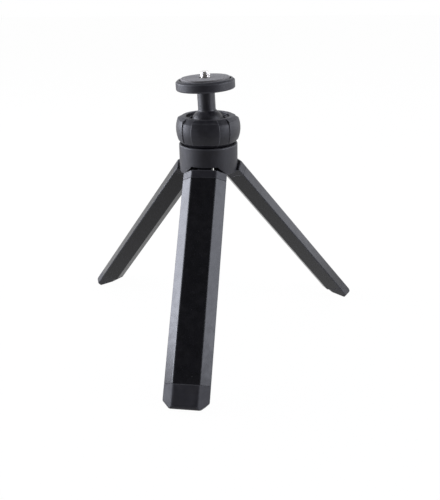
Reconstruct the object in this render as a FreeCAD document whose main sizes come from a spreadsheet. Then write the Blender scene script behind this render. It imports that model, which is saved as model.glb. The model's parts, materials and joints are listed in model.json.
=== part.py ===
import FreeCAD, Part
import os
import re
import Sketcher
from FreeCAD import Placement, Rotation, Vector

# Mini tripod: three aluminium legs folding under a round collar, with a lockable ball head above it.
# Lengths are in millimetres and angles in degrees. The origin lies on the collar's axis at floor level,
# +Z points up and the front leg points towards -Y. The legs are spread and the head is locked.

os.makedirs("parts", exist_ok=True)
doc = FreeCAD.newDocument("MiniTripod")

# Every size that can be set by itself.
SIZES = {
    # leg position
    "leg_splay": 39.0,             # angle of an open leg from the vertical
    "pin_circle_radius": 8.2,      # hinge pins to the collar's axis
    # leg cross-section, depths measured inwards from the flat outer face
    "face_half_width": 7.2,        # flat outer face
    "facet_half_width": 13.5,      # widest place, where the side facets end
    "facet_depth": 5.7,
    "inner_half_width": 3.05,       # flat face that looks at the neighbours when folded
    "section_depth": 12.0,
    "face_rounding": 2.6,
    "corner_rounding": 0.6,
    # leg lengths
    "pin_depth": 5.8,              # hinge pin below the outer face
    "pin_to_block": 9.6,
    "block_height": 4.9,
    "tube_length": 119.7,
    "foot_length": 13.2,
    "tube_wall": 1.2,
    "plug_length": 12.0,
    "plug_gap": 0.1,
    # foot
    "toe_depth": 4.9,              # where the sole starts on the end face
    "sole_depth": 7.3,             # where the sole ends
    "heel_depth": 10.8,
    "heel_rise": 7.9,
    "heel_step": 11.6,
    "toe_half_width": 8.4,
    "toe_corner_rise": 4.4,
    "toe_rounding": 2.0,
    # hinge
    "pin_radius": 1.25,
    "lug_half_width": 4.0,
    "lug_radius": 3.4,
    "lug_gap": 0.1,
    "friction_washer": 0.5,
    "friction_washer_radius": 2.9,
    "ear_thickness": 2.4,
    "ear_drop": 3.5,
    "running_gap": 0.05,
    # collar, heights measured from the hinge pins
    "collar_radius": 17.8,
    "collar_wall": 1.8,
    "collar_rounding": 0.7,
    "rim_rise": 8.0,
    "roof_rise": 5.8,
    "roof_thickness": 2.2,
    "opening_drop": 3.2,
    "opening_half_width": 8.4,
    "opening_side": 1.0,
    "skirt_drop": 8.8,
    "skirt_gap_half_width": 13.4,
    "rib_radius": 9.6,             # inner face of the cross wall behind each leg
    "rib_thickness": 1.2,
    "rib_drop": 8.4,
    "rib_half_width": 12.9,
    "boss_radius": 4.4,
    "boss_drop": 4.0,
    "bolt_radius": 1.95,
    "bolt_head_radius": 3.4,
    "bolt_head_height": 2.4,
    "bolt_key_radius": 1.5,
    "bolt_key_depth": 1.2,
    "bolt_washer_radius": 4.2,
    "bolt_washer_height": 0.6,
    "bolt_reach": 1.8,
    # threaded neck, ball and its seat, heights measured from the collar's roof
    "neck_wall": 1.75,
    "neck_height": 11.2,
    "neck_floor": 2.2,
    "seat_wall": 1.35,
    "ball_radius": 10.4,
    "ball_rise": 12.9,
    "seat_hole_radius": 4.0,
    "clamp_gap": 0.45,             # clamp ring inside the knob's bore
    "clamp_base_rise": 0.3,        # clamp ring above the ball's equator
    "clamp_height": 2.4,
    # lock knob, heights measured from the collar's roof
    "knob_radius": 19.4,
    "knob_end_inset": 1.15,         # how far the belly draws in at its two ends
    "knob_base_wall": 1.35,
    "knob_base_rise": 0.4,
    "knob_skirt_rise": 1.7,
    "knob_belly_start": 4.6,
    "knob_belly_end": 17.2,
    "knob_top_rise": 18.75,
    "knob_bevel": 2.7,
    "knob_lip_gap": 0.8,           # lip around the ball
    "knob_lip_width": 1.8,
    "knob_lip_height": 1.2,
    "knob_grooves": 5,
    "groove_width": 20.6,          # angle that one finger groove takes up
    "groove_depth": 0.5,
    "groove_azimuth": -50.5,
    # head, heights measured from the ball's centre along the stem
    "head_lean": 2.4,              # the photographed lean towards -X
    "stem_radius": 5.3,
    "stem_fillet": 1.0,
    "stem_height": 20.4,
    "neck_washer_height": 0.9,
    "neck_washer_radius": 4.9,
    "disc_radius": 17.5,
    "disc_side": 4.7,
    "disc_edge": 0.5,
    "rim_height": 1.1,
    "rim_slope": 1.2,
    "pad_radius": 14.5,
    "pad_groove": 0.7,
    "pad_bed": 4.3,                # pad's seat above the underside of the disc
    "pad_thickness": 2.5,
    "stud_radius": 3.175,
    "stud_height": 3.35,
    "stud_tip": 0.6,
    "stud_relief_radius": 2.6,     # plain stretch of the stud inside the pad
    "stud_hole_gap": 0.15,
    "flange_radius": 5.5,
    "flange_height": 1.6,
    "shank_radius": 2.5,
    "shank_depth": 7.0,
}

# Sizes and places that follow from them.
WORKED = {
    "facet_angle": "atan2(facet_depth; facet_half_width - face_half_width)",
    "mating_angle": "atan2(section_depth - facet_depth; facet_half_width - inner_half_width)",
    "block_top": "-pin_to_block",
    "block_seam": "block_top - block_height",
    "foot_seam": "block_seam - tube_length",
    "toe_end": "foot_seam - foot_length",
    "pin_height": "(toe_depth - pin_depth) * sin(leg_splay) - toe_end * cos(leg_splay)",
    "pin_bore_radius": "pin_radius + running_gap",
    "washer_inner_face": "lug_half_width + running_gap",
    "washer_outer_face": "washer_inner_face + friction_washer",
    "ear_inner_face": "washer_outer_face + running_gap",
    "ear_outer_face": "ear_inner_face + ear_thickness",
    "rim_top": "pin_height + rim_rise",
    "roof_top": "pin_height + roof_rise",
    "roof_base": "roof_top - roof_thickness",
    "opening_top": "pin_height - opening_drop",
    "skirt_base": "pin_height - skirt_drop",
    "boss_base": "pin_height - boss_drop",
    "collar_bore_radius": "collar_radius - collar_wall",
    "bolt_hole_radius": "bolt_radius + running_gap",
    "neck_top": "roof_top + neck_height",
    "socket_radius": "ball_radius + running_gap",
    "seat_radius": "socket_radius + seat_wall",
    "neck_bore_radius": "seat_radius + running_gap",
    "neck_radius": "neck_bore_radius + neck_wall",
    "seat_base": "roof_top + neck_floor + running_gap",
    "ball_height": "roof_top + ball_rise",
    "clamp_base": "ball_height + clamp_base_rise",
    "clamp_top": "clamp_base + clamp_height",
    "knob_bore_radius": "neck_radius + running_gap",
    "clamp_radius": "knob_bore_radius - clamp_gap",
    "knob_base_radius": "knob_bore_radius + knob_base_wall",
    "knob_end_radius": "knob_radius - knob_end_inset",
    "knob_top_radius": "knob_end_radius - knob_bevel",
    "knob_lip_radius": "ball_radius + knob_lip_gap",
    "knob_mouth_radius": "knob_lip_radius + knob_lip_width",
    "knob_lip_base": "clamp_top + running_gap",
    "knob_belly_height": "knob_belly_end - knob_belly_start",
    "knob_belly_sag": "knob_radius - knob_end_radius",
    "knob_belly_curve": "(knob_belly_height^2 / 4 + knob_belly_sag^2) / (2 * knob_belly_sag)",
    "groove_end_radius": "knob_end_radius - groove_depth",
    "groove_curve": "knob_belly_curve - groove_depth",
    "fillet_axis": "stem_radius + stem_fillet",
    "fillet_height": "sqrt((ball_radius + stem_fillet)^2 - fillet_axis^2)",
    "fillet_share": "ball_radius / (ball_radius + stem_fillet)",
    "disc_base": "stem_height + neck_washer_height",
    "pad_base": "disc_base + pad_bed",
    "pad_top": "pad_base + pad_thickness",
    "flange_base": "pad_base - flange_height",
    "shank_bore_radius": "shank_radius + running_gap",
}

# How close two places must be to count as the same.
TOUCH = 1e-4

LEG_AZIMUTHS = {"front": -90.0, "right": 30.0, "left": 150.0}


def spell(text, own=""):
    """Give each size in a formula the name of its table, except those of the table it stands in."""
    def with_table(match):
        word = match.group()
        for table, cells in (("Sizes", SIZES), ("Worked", WORKED)):
            if word in cells and table != own:
                return f"{table}.{word}"
        return word
    return re.sub(r"[a-z]\w*", with_table, text)


def fill_table(name, cells):
    """Write one table: a column of names and a column of values, each value with an alias."""
    table = doc.addObject("Spreadsheet::Sheet", name)
    for row, (alias, entry) in enumerate(cells.items(), start=1):
        table.set(f"A{row}", alias.replace("_", " "))
        formula = "=" + spell(entry, own=name) if isinstance(entry, str) else str(entry)
        table.set(f"B{row}", formula)
        table.setAlias(f"B{row}", alias)
    doc.recompute()
    return table


fill_table("Sizes", SIZES)
worked = fill_table("Worked", WORKED)


def value(text):
    """Work out a formula of sizes as a plain number."""
    return float(worked.evalExpression(spell(text)))


def new_body(label):
    body = doc.addObject("PartDesign::Body", label)
    body.Label = label
    return body


def new_sketch(body, plane, height="0"):
    """Start a sketch on one of the body's own planes, raised along the plane's normal."""
    sketch = body.newObject("Sketcher::SketchObject", f"{body.Label}_outline")
    base = next(feature for feature in body.Origin.OriginFeatures if feature.Role == plane)
    sketch.AttachmentSupport = [(base, "")]
    sketch.MapMode = "FlatFace"
    if height != "0":
        sketch.setExpression("AttachmentOffset.Base.z", spell(height))
    return sketch


def bind(sketch, kind, places, text):
    """Add one dimension to a sketch and tie it to a formula."""
    index = sketch.addConstraint(Sketcher.Constraint(kind, *places, value(text)))
    sketch.setExpression(f"Constraints[{index}]", spell(text))


def arc_middle(start, end, radius):
    """Middle point of the shorter arc from start to end, bulging to the right for a positive radius."""
    chord = end - start
    half = chord.Length / 2
    across = Vector(chord.y, -chord.x, 0).normalize() * (1 if radius > 0 else -1)
    sag = abs(radius) - (radius ** 2 - half ** 2) ** 0.5
    return (start + end) * 0.5 + across * sag


def draw(sketch, points):
    """Close an outline through points (x, y). A third entry makes the edge that leaves it an arc."""
    corners = [Vector(value(point[0]), value(point[1]), 0) for point in points]
    edges = []
    for number, point in enumerate(points):
        start = corners[number]
        end = corners[(number + 1) % len(points)]
        if len(point) == 2:
            sketch.addGeometry(Part.LineSegment(start, end), False)
            edges.append((1, 2))
            continue
        radius = value(point[2])
        middle = arc_middle(start, end, radius)
        arc = Part.Arc(start, middle, end) if radius > 0 else Part.Arc(end, middle, start)
        edge = sketch.addGeometry(arc, False)
        drawn = sketch.Geometry[edge].StartPoint
        edges.append((1, 2) if drawn.distanceToPoint(start) < TOUCH else (2, 1))
    first = len(sketch.Geometry) - len(points)
    for number, point in enumerate(points):
        following = (number + 1) % len(points)
        joint = (first + number, edges[number][1], first + following, edges[following][0])
        sketch.addConstraint(Sketcher.Constraint("Coincident", *joint))
        bind(sketch, "DistanceX", (-1, 1, first + number, edges[number][0]), point[0])
        bind(sketch, "DistanceY", (-1, 1, first + number, edges[number][0]), point[1])
        if len(point) == 3:
            bind(sketch, "Radius", (first + number,), point[2].lstrip("-"))


def draw_circle(sketch, radius, centre=("0", "0")):
    middle = Vector(value(centre[0]), value(centre[1]), 0)
    circle = sketch.addGeometry(Part.Circle(middle, Vector(0, 0, 1), value(radius)), False)
    bind(sketch, "DistanceX", (-1, 1, circle, 3), centre[0])
    bind(sketch, "DistanceY", (-1, 1, circle, 3), centre[1])
    bind(sketch, "Radius", (circle,), radius)


def pad(body, sketch, length, symmetric=False, reverse=False):
    feature = body.newObject("PartDesign::Pad", f"{body.Label}_pad")
    feature.Profile = sketch
    feature.setExpression("Length", spell(length))
    feature.SideType = "Symmetric" if symmetric else "One side"
    feature.Reversed = reverse
    sketch.Visibility = False
    doc.recompute()
    return feature


def pocket(body, sketch, length, symmetric=False, reverse=False):
    """Cut an outline away and make sure that the cut took something."""
    before = body.Shape.Volume
    feature = body.newObject("PartDesign::Pocket", f"{body.Label}_pocket")
    feature.Profile = sketch
    feature.setExpression("Length", spell(length))
    feature.SideType = "Symmetric" if symmetric else "One side"
    feature.Reversed = reverse
    sketch.Visibility = False
    doc.recompute()
    if body.Shape.Volume >= before:
        raise RuntimeError(f"{body.Label}: a pocket cut nothing")
    return feature


def revolve(body, points):
    """Turn an outline of radii and heights about the body's Z axis."""
    sketch = new_sketch(body, "XZ_Plane")
    draw(sketch, points)
    feature = body.newObject("PartDesign::Revolution", f"{body.Label}_turned")
    feature.Profile = sketch
    feature.ReferenceAxis = (sketch, ["V_Axis"])
    feature.Angle = 360
    sketch.Visibility = False
    doc.recompute()
    return feature


def cut_turned(body, azimuth, angle, points):
    """Cut an outline of radii and heights, turned about the Z axis by an angle centred on an azimuth."""
    sketch = new_sketch(body, "XZ_Plane")
    sketch.AttachmentOffset = Placement(Vector(), Rotation(Vector(0, 1, 0), value(azimuth)))
    if azimuth != "0":
        sketch.setExpression("AttachmentOffset.Rotation.Angle", spell(azimuth))
    draw(sketch, points)
    before = body.Shape.Volume
    feature = body.newObject("PartDesign::Groove", f"{body.Label}_cut")
    feature.Profile = sketch
    feature.ReferenceAxis = (sketch, ["V_Axis"])
    feature.setExpression("Angle", spell(angle))
    feature.Midplane = True
    sketch.Visibility = False
    doc.recompute()
    if body.Shape.Volume >= before:
        raise RuntimeError(f"{body.Label}: a turned cut took nothing")
    return feature


def hollow_for_ball(body):
    """Cut the ball's room out of a body that is turned about the ball's upright axis."""
    return cut_turned(body, "0", "360", [
        ("0", "ball_height - socket_radius", "socket_radius"),
        ("socket_radius", "ball_height", "socket_radius"),
        ("0", "ball_height + socket_radius"),
    ])


def repeat_round(body, originals, count):
    """Repeat features evenly about the body's Z axis."""
    axis = next(feature for feature in body.Origin.OriginFeatures if feature.Role == "Z_Axis")
    pattern = body.newObject("PartDesign::PolarPattern", f"{body.Label}_repeat")
    pattern.Originals = originals
    pattern.Axis = (axis, [""])
    pattern.Angle = 360
    pattern.Occurrences = count
    body.Tip = pattern
    doc.recompute()
    return pattern


def round_edges(body, radius, wanted):
    """Round the edges of the body's present shape that the test picks."""
    base = body.Tip
    names = [f"Edge{number}" for number, edge in enumerate(base.Shape.Edges, start=1) if wanted(edge)]
    feature = body.newObject("PartDesign::Fillet", f"{body.Label}_rounding")
    feature.Base = (base, names)
    feature.setExpression("Radius", spell(radius))
    body.Tip = feature
    doc.recompute()
    return feature


def leg_place(azimuth):
    """Leg parts are drawn hanging down from the hinge pin: X across, Y inwards, Z up along the leg."""
    turn = Rotation(Vector(0, 0, 1), azimuth + 90)
    swing = Rotation(Vector(1, 0, 0), -value("leg_splay"))
    pin = Vector(0, -value("pin_circle_radius"), value("pin_height"))
    return Placement(turn.multVec(pin), turn.multiply(swing))


def head_place():
    """Head parts are drawn upright about the ball's centre and lean with the stem."""
    return Placement(Vector(0, 0, value("ball_height")), Rotation(Vector(0, 1, 0), -value("head_lean")))


def section(inset="0"):
    """Leg outline about the hinge pin, with every side moved inwards by the inset."""
    spread = "(1 - cos(facet_angle + mating_angle))"
    face_x = f"face_half_width - {inset} * tan(facet_angle / 2)"
    wide_x = f"facet_half_width - {inset} * (sin(facet_angle) + sin(mating_angle)) / {spread}"
    wide_y = f"facet_depth + {inset} * (cos(facet_angle) - cos(mating_angle)) / {spread} - pin_depth"
    inner_x = f"inner_half_width - {inset} * tan(mating_angle / 2)"
    face_y = f"{inset} - pin_depth"
    inner_y = f"section_depth - {inset} - pin_depth"
    right = [(face_x, face_y), (wide_x, wide_y), (inner_x, inner_y)]
    left = [(f"-({across})", depth) for across, depth in reversed(right)]
    return right + left


def runs_along_leg(edge, side_x, side_y):
    """Tell whether a straight edge runs along the leg at a corner of its section."""
    start = edge.Vertexes[0].Point
    end = edge.Vertexes[-1].Point
    upright = abs(start.x - end.x) < TOUCH and abs(start.y - end.y) < TOUCH
    return upright and abs(abs(start.x) - side_x) < TOUCH and abs(start.y - side_y) < TOUCH


def round_section(body, inset="0"):
    """Round the section's corners: generously beside the outer face and slightly at the others."""
    face, wide, inner = [(value(across), value(depth)) for across, depth in section(inset)[:3]]
    round_edges(body, f"face_rounding - {inset}", lambda edge: runs_along_leg(edge, *face))
    sharp = f"corner_rounding + 0.2 * {inset}"
    round_edges(body, sharp, lambda edge: runs_along_leg(edge, *wide) or runs_along_leg(edge, *inner))


def leg_prism(body, top, length, inset="0"):
    """Add a stretch of the leg's section that hangs down from a height."""
    sketch = new_sketch(body, "XY_Plane", top)
    draw(sketch, section(inset))
    return pad(body, sketch, length, reverse=True)


def make_leg_knuckle(label):
    """Plastic block on top of the tube: a plug below, and above it the lug that turns on the pin."""
    body = new_body(label)
    leg_prism(body, "block_top", "block_height")
    round_section(body)
    plug = new_sketch(body, "XY_Plane", "block_seam")
    draw(plug, section("(tube_wall + plug_gap)"))
    pad(body, plug, "plug_length", reverse=True)
    lug = new_sketch(body, "YZ_Plane")
    draw(lug, [
        ("-lug_radius", "block_top - block_height / 2"),
        ("lug_radius", "block_top - block_height / 2"),
        ("lug_radius", "0", "lug_radius"),
        ("0", "lug_radius", "lug_radius"),
        ("-lug_radius", "0"),
    ])
    pad(body, lug, "2 * lug_half_width", symmetric=True)
    eye = new_sketch(body, "YZ_Plane")
    draw_circle(eye, "pin_bore_radius")
    pocket(body, eye, "4 * lug_half_width", symmetric=True)
    return body


def make_leg_tube(label):
    """Extruded aluminium tube with the leg's section."""
    body = new_body(label)
    leg_prism(body, "block_seam", "tube_length")
    round_section(body)
    hollow = new_sketch(body, "XY_Plane", "block_seam")
    draw(hollow, section("tube_wall"))
    pocket(body, hollow, "tube_length")
    return body


def make_leg_foot(label):
    """Plastic foot: a plug in the tube, the leg's section below it, and a toe cut to stand level."""
    body = new_body(label)
    leg_prism(body, "foot_seam", "foot_length")
    round_section(body)
    sole = "(toe_end + (sole_depth - toe_depth) * tan(leg_splay))"
    beyond = "(toe_end - foot_length)"
    side = new_sketch(body, "YZ_Plane")
    draw(side, [
        ("toe_depth - pin_depth", "toe_end"),
        ("sole_depth - pin_depth", sole),
        ("heel_depth - pin_depth", "toe_end + heel_rise"),
        ("heel_depth - pin_depth", "toe_end + heel_step"),
        ("section_depth", "toe_end + heel_step"),
        ("section_depth", beyond),
        ("toe_depth - pin_depth", beyond),
    ])
    draw(side, [
        ("-pin_depth", "toe_end + toe_rounding", "toe_rounding"),
        ("toe_rounding - pin_depth", "toe_end"),
        ("toe_rounding - pin_depth", beyond),
        ("-section_depth", beyond),
        ("-section_depth", "toe_end + toe_rounding"),
    ])
    pocket(body, side, "4 * facet_half_width", symmetric=True)
    corners = new_sketch(body, "XZ_Plane")
    for sign in ("", "-"):
        draw(corners, [
            (f"{sign}toe_half_width", "toe_end"),
            (f"{sign}facet_half_width", "toe_end + toe_corner_rise"),
            (f"{sign}2 * facet_half_width", "toe_end + toe_corner_rise"),
            (f"{sign}2 * facet_half_width", beyond),
            (f"{sign}toe_half_width", beyond),
        ])
    pocket(body, corners, "4 * section_depth", symmetric=True)
    plug = new_sketch(body, "XY_Plane", "foot_seam")
    draw(plug, section("(tube_wall + plug_gap)"))
    pad(body, plug, "plug_length")
    return body


def make_hinge_pin(label):
    pin = doc.addObject("Part::Cylinder", label)
    pin.setExpression("Radius", spell("pin_radius"))
    pin.setExpression("Height", spell("2 * ear_outer_face"))
    return pin


def make_friction_washers(label):
    """Two thin washers on the pin, one on each side of the lug."""
    rings = []
    for side in (-1, 1):
        disc = doc.addObject("Part::Cylinder", f"{label}_disc")
        disc.setExpression("Radius", spell("friction_washer_radius"))
        disc.setExpression("Height", spell("friction_washer"))
        hole = doc.addObject("Part::Cylinder", f"{label}_hole")
        hole.setExpression("Radius", spell("pin_bore_radius"))
        hole.setExpression("Height", spell("friction_washer"))
        ring = doc.addObject("Part::Cut", f"{label}_ring")
        ring.Base = disc
        ring.Tool = hole
        start = "washer_inner_face" if side > 0 else "-washer_outer_face"
        for piece in (disc, hole):
            piece.setExpression("Placement.Base.z", spell(start))
        rings.append(ring)
    pair = doc.addObject("Part::Compound", label)
    pair.Links = rings
    return pair


def pin_place(azimuth, start="0"):
    """Place a piece that is drawn along Z onto the hinge pin's axis, across the leg."""
    leg = leg_place(azimuth)
    along = Rotation(Vector(0, 1, 0), 90)
    return leg.multiply(Placement(Vector(value(start), 0, 0), along))


def make_collar():
    """Collar: outer wall with three skirts, a roof, a centre boss and a pair of ears for each leg."""
    body = new_body("hub_collar")
    revolve(body, [
        ("bolt_hole_radius", "boss_base"),
        ("boss_radius", "boss_base"),
        ("boss_radius", "roof_base"),
        ("collar_bore_radius", "roof_base"),
        ("collar_bore_radius", "skirt_base"),
        ("collar_radius", "skirt_base"),
        ("collar_radius", "rim_top - collar_rounding", "collar_rounding"),
        ("collar_radius - collar_rounding", "rim_top"),
        ("collar_bore_radius", "rim_top"),
        ("collar_bore_radius", "roof_top"),
        ("bolt_hole_radius", "roof_top"),
    ])
    opening = new_sketch(body, "XZ_Plane", "collar_bore_radius / 2")
    shoulder = "opening_top - opening_side"
    beyond = "skirt_base - opening_drop"
    draw(opening, [
        ("opening_half_width", "opening_top"),
        ("opening_half_width", shoulder),
        ("skirt_gap_half_width", "skirt_base"),
        ("skirt_gap_half_width", beyond),
        ("-skirt_gap_half_width", beyond),
        ("-skirt_gap_half_width", "skirt_base"),
        ("-opening_half_width", shoulder),
        ("-opening_half_width", "opening_top"),
    ])
    gap = pocket(body, opening, "collar_radius", reverse=True)
    repeat_round(body, [gap], len(LEG_AZIMUTHS))
    ears = new_sketch(body, "YZ_Plane")
    draw(ears, [
        ("-(boss_radius + bolt_radius) / 2", "roof_top - roof_thickness / 2"),
        ("-(boss_radius + bolt_radius) / 2", "pin_height - ear_drop"),
        ("-collar_bore_radius", "pin_height - ear_drop"),
        ("-collar_bore_radius", "roof_top - roof_thickness / 2"),
    ])
    block = pad(body, ears, "2 * ear_outer_face", symmetric=True)
    repeat_round(body, [block], len(LEG_AZIMUTHS))
    ribs = new_sketch(body, "YZ_Plane")
    draw(ribs, [
        ("-rib_radius", "roof_top - roof_thickness / 2"),
        ("-rib_radius", "pin_height - rib_drop"),
        ("-(rib_radius + rib_thickness)", "pin_height - rib_drop"),
        ("-(rib_radius + rib_thickness)", "roof_top - roof_thickness / 2"),
    ])
    cross_wall = pad(body, ribs, "2 * rib_half_width", symmetric=True)
    repeat_round(body, [cross_wall], len(LEG_AZIMUTHS))
    slot = new_sketch(body, "YZ_Plane")
    draw(slot, [
        ("lug_radius + lug_gap - pin_circle_radius", "roof_base"),
        ("lug_radius + lug_gap - pin_circle_radius", "skirt_base"),
        ("-collar_bore_radius", "skirt_base"),
        ("-collar_bore_radius", "roof_base"),
    ])
    room = pocket(body, slot, "2 * ear_inner_face", symmetric=True)
    repeat_round(body, [room], len(LEG_AZIMUTHS))
    bores = new_sketch(body, "YZ_Plane")
    draw_circle(bores, "pin_bore_radius", ("-pin_circle_radius", "pin_height"))
    bore = pocket(body, bores, "2 * ear_outer_face", symmetric=True)
    repeat_round(body, [bore], len(LEG_AZIMUTHS))
    return body


def make_hub_bolt():
    """Screw that holds the neck on the collar, with a key recess in its head."""
    body = new_body("hub_bolt")
    head_top = "boss_base - bolt_washer_height"
    head_base = f"{head_top} - bolt_head_height"
    revolve(body, [
        ("0", f"{head_base} + bolt_key_depth"),
        ("bolt_key_radius", f"{head_base} + bolt_key_depth"),
        ("bolt_key_radius", head_base),
        ("bolt_head_radius", head_base),
        ("bolt_head_radius", head_top),
        ("bolt_radius", head_top),
        ("bolt_radius", "roof_top + bolt_reach"),
        ("0", "roof_top + bolt_reach"),
    ])
    return body


def make_bolt_washer():
    body = new_body("hub_bolt_washer")
    sketch = new_sketch(body, "XY_Plane", "boss_base")
    draw_circle(sketch, "bolt_washer_radius")
    draw_circle(sketch, "bolt_hole_radius")
    pad(body, sketch, "bolt_washer_height", reverse=True)
    return body


def make_neck():
    """Threaded neck on the collar's roof. It holds the ball's seat and carries the lock knob."""
    body = new_body("socket_neck")
    revolve(body, [
        ("bolt_hole_radius", "roof_top"),
        ("neck_radius", "roof_top"),
        ("neck_radius", "neck_top"),
        ("neck_bore_radius", "neck_top"),
        ("neck_bore_radius", "roof_top + neck_floor"),
        ("bolt_hole_radius", "roof_top + neck_floor"),
    ])
    return body


def make_seat():
    """Slippery cup under the ball."""
    body = new_body("ball_seat")
    revolve(body, [
        ("seat_hole_radius", "seat_base"),
        ("seat_radius", "seat_base"),
        ("seat_radius", "neck_top"),
        ("seat_hole_radius", "neck_top"),
    ])
    hollow_for_ball(body)
    return body


def make_clamp_ring():
    """Ring under the knob's lip, pressed on the ball just above its widest place."""
    body = new_body("clamp_ring")
    revolve(body, [
        ("stem_radius", "clamp_base"),
        ("clamp_radius", "clamp_base"),
        ("clamp_radius", "clamp_top"),
        ("stem_radius", "clamp_top"),
    ])
    hollow_for_ball(body)
    return body


def make_knob():
    """Lock knob: a barrel-shaped nut with shallow finger grooves and a wide mouth for the stem."""
    body = new_body("lock_knob")
    revolve(body, [
        ("knob_bore_radius", "roof_top + knob_base_rise"),
        ("knob_base_radius", "roof_top + knob_base_rise"),
        ("knob_base_radius", "roof_top + knob_skirt_rise"),
        ("knob_end_radius", "roof_top + knob_belly_start", "knob_belly_curve"),
        ("knob_end_radius", "roof_top + knob_belly_end"),
        ("knob_top_radius", "roof_top + knob_top_rise"),
        ("knob_mouth_radius", "roof_top + knob_top_rise"),
        ("knob_mouth_radius", "knob_lip_base + knob_lip_height"),
        ("knob_lip_radius", "knob_lip_base + knob_lip_height"),
        ("knob_lip_radius", "knob_lip_base"),
        ("knob_bore_radius", "knob_lip_base"),
    ])
    groove = cut_turned(body, "groove_azimuth", "groove_width", [
        ("groove_end_radius", "roof_top + knob_skirt_rise"),
        ("knob_radius + groove_depth", "roof_top + knob_skirt_rise"),
        ("knob_radius + groove_depth", "roof_top + knob_top_rise"),
        ("groove_end_radius", "roof_top + knob_top_rise"),
        ("groove_end_radius", "roof_top + knob_belly_end", "-groove_curve"),
        ("groove_end_radius", "roof_top + knob_belly_start"),
    ])
    repeat_round(body, [groove], int(value("knob_grooves")))
    return body


def make_ball_stem():
    """Ball and stem in one piece, with a fillet between them and a bore for the stud's shank."""
    body = new_body("ball_stem")
    revolve(body, [
        ("0", "-ball_radius", "ball_radius"),
        ("ball_radius", "0", "ball_radius"),
        ("fillet_axis * fillet_share", "fillet_height * fillet_share", "-stem_fillet"),
        ("stem_radius", "fillet_height"),
        ("stem_radius", "stem_height"),
        ("shank_bore_radius", "stem_height"),
        ("shank_bore_radius", "stem_height - shank_depth - running_gap"),
        ("0", "stem_height - shank_depth - running_gap"),
    ])
    return body


def make_stem_washer():
    body = new_body("stem_washer")
    sketch = new_sketch(body, "XY_Plane", "stem_height")
    draw_circle(sketch, "neck_washer_radius")
    draw_circle(sketch, "shank_bore_radius")
    pad(body, sketch, "neck_washer_height")
    return body


def make_disc():
    """Platform disc with a sloping rim, a bed for the pad and a pocket for the stud's flange."""
    body = new_body("platform_disc")
    revolve(body, [
        ("shank_bore_radius", "disc_base"),
        ("disc_radius - disc_edge", "disc_base"),
        ("disc_radius", "disc_base + disc_edge"),
        ("disc_radius", "disc_base + disc_side"),
        ("disc_radius - rim_slope", "disc_base + disc_side + rim_height"),
        ("pad_radius + pad_groove", "disc_base + disc_side + rim_height"),
        ("pad_radius + pad_groove", "pad_base"),
        ("flange_radius + running_gap", "pad_base"),
        ("flange_radius + running_gap", "flange_base"),
        ("shank_bore_radius", "flange_base"),
    ])
    return body


def make_pad():
    body = new_body("platform_pad")
    sketch = new_sketch(body, "XY_Plane", "pad_base")
    draw_circle(sketch, "pad_radius")
    draw_circle(sketch, "stud_radius + stud_hole_gap")
    pad(body, sketch, "pad_thickness")
    return body


def make_stud():
    """Camera screw: thread above the pad, flange under it, and a shank down into the stem."""
    body = new_body("camera_stud")
    revolve(body, [
        ("0", "stem_height - shank_depth"),
        ("shank_radius", "stem_height - shank_depth"),
        ("shank_radius", "flange_base"),
        ("flange_radius", "flange_base"),
        ("flange_radius", "pad_base"),
        ("stud_relief_radius", "pad_base"),
        ("stud_relief_radius", "pad_top"),
        ("stud_radius", "pad_top"),
        ("stud_radius", "pad_top + stud_height - stud_tip"),
        ("stud_radius - stud_tip", "pad_top + stud_height"),
        ("0", "pad_top + stud_height"),
    ])
    return body


pieces = [
    make_collar(), make_hub_bolt(), make_bolt_washer(), make_neck(), make_seat(), make_clamp_ring(),
    make_knob(),
]
head_pieces = [make_ball_stem(), make_stem_washer(), make_disc(), make_pad(), make_stud()]
for piece in head_pieces:
    piece.Placement = head_place()
pieces += head_pieces

for side, azimuth in LEG_AZIMUTHS.items():
    leg_pieces = [
        make_leg_knuckle(f"leg_knuckle_{side}"),
        make_leg_tube(f"leg_tube_{side}"),
        make_leg_foot(f"leg_foot_{side}"),
    ]
    for piece in leg_pieces:
        piece.Placement = leg_place(azimuth)
    hinge_pin = make_hinge_pin(f"hinge_pin_{side}")
    hinge_pin.Placement = pin_place(azimuth, "-ear_outer_face")
    washers = make_friction_washers(f"friction_washers_{side}")
    washers.Placement = pin_place(azimuth)
    pieces += leg_pieces + [hinge_pin, washers]

doc.recompute()
for thing in doc.Objects:
    if "Invalid" in thing.State or "Error" in thing.State:
        raise RuntimeError(f"{thing.Label} failed: {thing.State}")
for piece in pieces:
    if piece.Shape.isNull() or not piece.Shape.isValid():
        raise RuntimeError(f"{piece.Label} has no sound shape")

for piece in pieces:
    piece.Shape.exportStep(f"parts/{piece.Label}.step")
    print(f"{piece.Label}: {len(piece.Shape.Solids)} solid(s), {piece.Shape.Volume:.1f} mm3")
print(f"pin height {value('pin_height'):.2f}, ball height {value('ball_height'):.2f}")
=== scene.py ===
# %% [markdown]
# # Mini tripod
# A table-top tripod: three faceted black aluminium legs under a round plastic collar, a ball head with a
# lock knob around it, and a disc with a camera screw on top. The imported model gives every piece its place,
# size and motion. This lesson dresses it: smooth surfaces where the eye rests, and a finish for each piece.

# %% Load the frame
import json
import math

import bpy
import numpy as np
from mathutils import Matrix, Vector


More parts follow.
